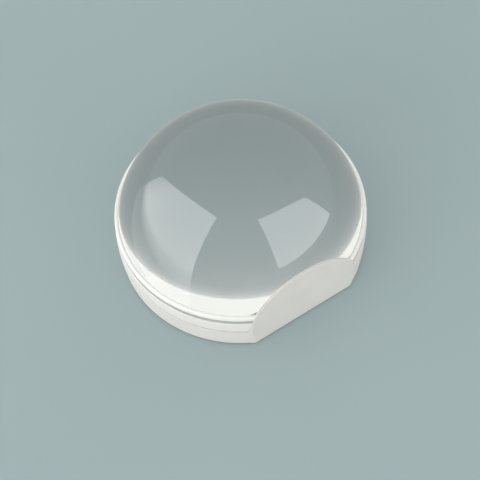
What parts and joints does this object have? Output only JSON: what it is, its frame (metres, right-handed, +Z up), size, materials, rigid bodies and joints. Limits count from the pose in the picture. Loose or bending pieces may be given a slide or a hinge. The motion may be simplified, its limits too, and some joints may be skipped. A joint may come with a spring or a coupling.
{
  "type": "dome magnifier",
  "caption": "Free-standing bright-field magnifier: a solid clear dome lens in a low white plastic base with one flat facet, laid on a page and read through.",
  "frame": {"origin": "on the dome's axis, in the plane of the surface that the magnifier stands on", "axes": "+Z up along the dome's axis; the flat facet faces -Y; +X to the right seen from the facet"},
  "size_m": [0.088, 0.0829, 0.0513],
  "materials": {
    "clear_acrylic": "polished",
    "white_abs": "satin",
    "grey_silicone": "matte",
    "adhesive_sheet": "matte",
    "natural_acetal": "satin",
    "screw_steel": "satin",
    "pin_steel": "satin",
    "foot_silicone": "matte"
  },
  "bodies": {
    "root": {"dome_lens": "clear_acrylic", "bezel_ring": "white_abs", "groove_seal": "grey_silicone", "main_housing": "white_abs", "base_ring": "white_abs", "facet_panel": "white_abs", "panel_tape": "adhesive_sheet", "lens_snap_ring": "natural_acetal", "housing_screws": "screw_steel", "alignment_pins": "pin_steel", "foot_ring": "foot_silicone"}
  },
  "joints": []
}
